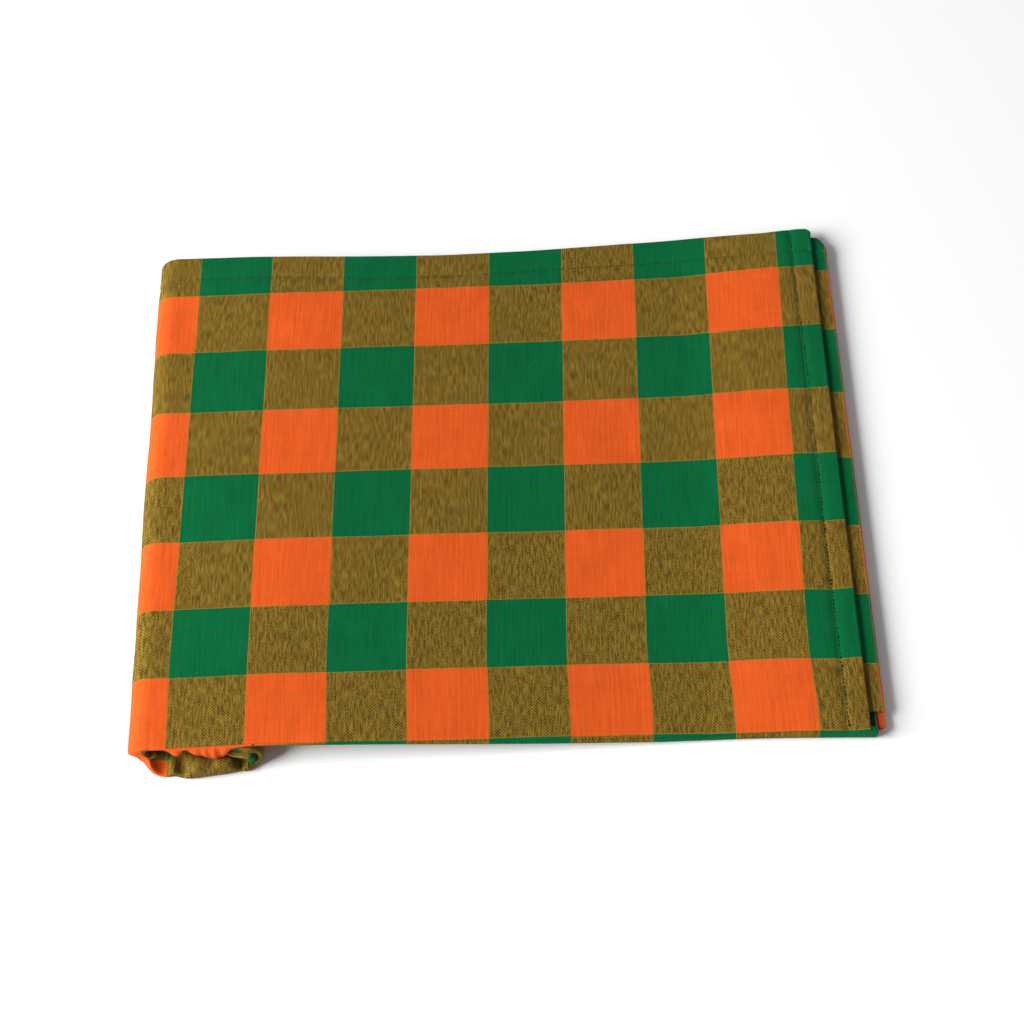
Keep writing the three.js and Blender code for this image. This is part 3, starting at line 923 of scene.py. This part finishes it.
# %% Lay the slipped fold
SLIPPED_FOLD = table("s hangs out", [
    (-140, 2.9, -1), (-145, 3.2, 0.3), (-149.4, 3.6, 0.5), (-152.7, 5.5, 0.4), (-155, 8.5, 1.2),
    (-157.4, 13.5, 2.2), (-160, 17, 1), (-163.5, 18.2, 2.8), (-166.1, 17.6, 1.4),
    (-168.4, 14.4, 2.4), (-170.6, 12.4, 1), (-174.1, 11.4, 1.6), (-176.4, 9.6, 0.7),
    (-178.2, 5.6, 0.4), (-180, 3.2, 0.4), (-181.8, 5.4, 0.5), (-183.4, 9.6, 1.4),
    (-185.4, 12, 2.4), (-187.4, 10.6, 1.2), (-189.4, 5.6, 0.6), (-191.4, 3.2, 0.4),
    (-199, 2.9, 0.3),
])
FLAP = {"inside": 0.25, "depth": 1.4, "bend": 0.8, "rim": 0.7, "fullness": 0.7, "step": 0.9}
FLAP_THREADS = {"crowding": 0.8, "warp": -STRIPE * 4.5, "weft": -STRIPE * 3.1, "from": -170}


def along_fold(s, key):
    """A smooth curve through the rows of SLIPPED_FOLD."""
    return float(np.mean(read(SLIPPED_FOLD, s + np.linspace(-1.1, 1.1, 5), key)))


def slipped_path(s):
    """In under the top, out over its front fold, down, and back in under itself."""
    front = edge(s, "front") - FLAP["inside"]
    hangs, out = along_fold(s, "hangs"), along_fold(s, "out")
    above, bend, rim = FLAP["depth"], FLAP["bend"], FLAP["rim"]
    turn = np.linspace(0, math.pi / 2, 6)[1:]
    down = np.linspace(above + bend, hangs - rim, 10)[1:]
    belly = out * np.sin(math.pi * (down - above - bend) / (hangs - 2.0)) ** FLAP["fullness"]
    y, depth = joined(
        ([front + 9, front + 5, front + bend], above),
        (front + bend * (1 - np.sin(turn)), above + bend * (1 - np.cos(turn))),
        (front - belly, down),
        (front - belly[-1] + rim * (1 - np.cos(turn)), hangs - rim * (1 - np.sin(turn))),
        ([front + 3, front + 6], [hangs - 0.3, hangs - 0.9]))
    way = np.concatenate([[0], np.cumsum(np.hypot(np.diff(y), np.diff(depth)))])
    return y, depth, np.zeros_like(y), -way, np.ones_like(y)


def make_slipped_fold():
    def threads(s, across):
        along = FLAP_THREADS["crowding"] * (s - FLAP_THREADS["from"]) + FLAP_THREADS["warp"]
        return np.full_like(across, along), across + FLAP_THREADS["weft"]

    places = run(SLIPPED_FOLD[0]["s"], SLIPPED_FOLD[-1]["s"], FLAP["step"])
    return lay_ply("slipped_fold", "folded_core", PLY["inner"], places, slipped_path,
                   threads=threads)


slipped_fold = make_slipped_fold()

# %% [markdown]
# The hems. A hem is the cloth's own edge, turned under and sewn down. The turned edge is part
# of each ply above, and the flat part that lies under it is a narrow band here. It hardly
# shows, but a look in at the back or at the right end meets it where the real one lies.

# %% Lay the hems
# Each band stops this far short of the turned edge round it.
SEAM = 0.3


def flat_band(name, start, end, y_back, y_front, depth_at, node):
    """A flat band under a ply, between two places along s."""
    def path(s):
        y = np.linspace(y_front(s), y_back(s), POINTS["band"])
        return y, np.full_like(y, depth_at(s)), np.zeros_like(y), y, np.ones_like(y)

    return lay_ply(name, node, PLY["top"], stations(start, end, GRID_STEP["hem"]), path)


def make_hems():
    within = hem_radius(TOP_PLY_END) + HEM_LIP + SEAM
    end_hem = flat_band(
        "turned_end_hem", TOP_PLY_END - within, TOP_PLY_END - END_HEM_WIDTH,
        lambda s: edge(s, "back") - within, lambda s: edge(s, "front") + 5,
        lambda s: 2 * hem_radius(s), "end_hem")
    side_hem = flat_band(
        "turned_side_hem", TOP_PLY_END - END_HEM_WIDTH - SEAM, STRIP_END + 4,
        lambda s: edge(s, "back") - hem_radius(s) - HEM_LIP - SEAM,
        lambda s: edge(s, "back") - SIDE_HEM_WIDTH, lambda s: 2 * hem_radius(s), "side_hem")
    second = SECOND_PLY["end"]
    second_depth = STACK["second"]["top"] + STACK["second"]["edge"]
    second_hem = flat_band(
        "second_turned_hem", second - within, second - END_HEM_WIDTH,
        lambda s: edge(s, "back") - 6, lambda s: SECOND_PLY["front"] + 9,
        lambda s: second_depth * thickness(s), "second_hem")
    return end_hem, side_hem, second_hem


hems = make_hems()

# %% [markdown]
# The stitches. A lockstitch leaves a row of short dashes on the face of the cloth, each one a
# thread that rises out of a hole and dives into the next. A dashed texture would lie flat, so
# each dash is a little tube that follows the cloth's surface and its groove. Along the back
# the thread is pulled tighter, so it has sunk into the cloth and shows less.

# %% Sewing thread
THREAD_DYES = ["#12300f", "#21461d"]


def sewing_thread():
    """Spun polyester thread: finer and a little glossier than the cotton round it."""
    material, tree, shader = new_material("spun_polyester_thread", Roughness=0.7, IOR=1.57,
                                          Specular_IOR_Level=0.15)
    where = add(tree, "TexCoord")
    twist = add(tree, "TexWave", {"Vector": where.outputs["Object"], "Scale": 700.0,
                                  "Distortion": 1.0})
    shade = add(tree, "Mix", {0: twist.outputs["Fac"], 6: linear(THREAD_DYES[0]),
                              7: linear(THREAD_DYES[1])}, data_type="RGBA")
    tree.links.new(shade.outputs[2], shader.inputs["Base Color"])
    return material


THREAD = sewing_thread()

# %% One line of stitches
THREAD_SIZE = {"dash": 2.3, "radius": 0.36, "tip": 0.55, "rise": 0.34, "start": -0.12,
               "sunk": 0.2, "drift": 0.12}
SIDES, RINGS = 6, 6


def top_skin(s, y, lift):
    """A point that lies lift above the outer ply's face."""
    return place(s, y, -(top_relief(s, y) + lift))


def sunk_skin(s, y, lift):
    """The same, with the thread sunk into the cloth."""
    return top_skin(s, y, lift - THREAD_SIZE["sunk"])


def second_skin(s, y, lift):
    return place(s, y, STACK["second"]["top"] * thickness(s) - lift)


def sew(name, line, skin):
    """Stitches along a line of (s, y) places, one at every pitch of its length."""
    spots = np.array(line, float)
    reach = np.concatenate([[0], np.cumsum(np.linalg.norm(np.diff(spots, axis=0), axis=1))])
    pitch = STITCHES["pitch"]
    vertices, faces = [], []
    for k in range(int(reach[-1] / pitch)):
        middle = (k + 0.5) * pitch + THREAD_SIZE["drift"] * math.sin(k * 2.7)
        centre = []
        for t in np.linspace(-0.5, 0.5, RINGS):
            at = middle + t * THREAD_SIZE["dash"]
            s, y = (np.interp(at, reach, spots[:, i]) for i in (0, 1))
            lift = THREAD_SIZE["rise"] * (1 - (2 * t) ** 2) + THREAD_SIZE["start"]
            centre.append(skin(float(s), np.array([y]), lift)[0])
        centre = np.array(centre)
        way = centre[-1] - centre[0]
        way /= np.linalg.norm(way)
        up = skin(float(s), np.array([y]), 1.0)[0] - skin(float(s), np.array([y]), 0.0)[0]
        side = np.cross(way, up)
        side /= np.linalg.norm(side)
        up = np.cross(side, way)
        base = len(vertices)
        turns = 2 * math.pi * np.arange(SIDES)[:, None] / SIDES
        circle = THREAD_SIZE["radius"] * (np.cos(turns) * side + np.sin(turns) * up)
        for ring, point in enumerate(centre):
            wide = THREAD_SIZE["tip"] if ring in (0, RINGS - 1) else 1
            vertices += list(point + circle * wide)
        for ring in range(RINGS - 1):
            for j in range(SIDES):
                a, b = base + ring * SIDES + j, base + ring * SIDES + (j + 1) % SIDES
                faces.append((a, b, b + SIDES, a + SIDES))
        faces.append([base + j for j in range(SIDES)][::-1])
        faces.append([base + (RINGS - 1) * SIDES + j for j in range(SIDES)])
    return dress(make_piece(name, np.array(vertices), faces), THREAD)


# %% Sew the three lines
def make_stitches():
    end_s = TOP_PLY_END - STITCHES["end"]
    front = edge(end_s, "front") + 3
    back = cornered_back(end_s, TOP_PLY_END) - 2
    end_line = [(end_s + 0.5 * math.sin(y / 37), y) for y in np.arange(front, back, 4)]
    side_line = [(s, edge(s, "back") - STITCHES["side"] + 0.4 * math.sin(s / 31))
                 for s in np.arange(TOP_PLY_END - 2, ROLL_ENDS[0], -4)]
    second_s = SECOND_PLY["end"] - 0.8
    second_line = [(s, edge(s, "back") - SIDE_HEM_WIDTH - 4.6)
                   for s in np.arange(second_s - 2, TOP_PLY_END - 4, -1)]
    return (sew("end_hem_stitches", end_line, top_skin),
            sew("side_hem_stitches", side_line, sunk_skin),
            sew("second_hem_stitches", second_line, second_skin))


stitches = make_stitches()

# %% [markdown]

# %% [markdown]
# The stage: a matt white floor, one large soft light from the left that lays a soft shadow to
# the right, and an even white world that fills the shadows.

# %% Floor and light
LIGHT = {"place": (-3.5, -1.0, 2.2), "size": 2.5, "power": 370}


def make_stage():
    bpy.ops.mesh.primitive_plane_add(size=8, location=(0, 0, -0.3 * MM))
    floor = bpy.context.object
    floor.name = "floor"
    paper = new_material("matt_white_paper", Base_Color=linear("#f4f4f4"), Roughness=0.95,
                         Specular_IOR_Level=0.1)[0]
    floor.data.materials.append(paper)
    world = bpy.data.worlds.new("studio")
    world.use_nodes = True
    sky = world.node_tree.nodes["Background"]
    sky.inputs["Color"].default_value = (1, 1, 1, 1)
    sky.inputs["Strength"].default_value = 0.28
    bpy.context.scene.world = world


def make_light():
    """A large soft light that looks at the middle of the cloth."""
    lamp = bpy.data.objects.new("soft_light_left", bpy.data.lights.new("soft_light_left", "AREA"))
    lamp.data.size = LIGHT["size"]
    lamp.data.energy = LIGHT["power"]
    lamp.location = LIGHT["place"]
    lamp.rotation_mode = "QUATERNION"
    lamp.rotation_quaternion = (-lamp.location).to_track_quat("-Z", "Y")
    bpy.context.collection.objects.link(lamp)
    print(lamp.name, "gives", lamp.data.energy, "W")


make_stage()
make_light()
bpy.context.scene.view_settings.view_transform = "Standard"
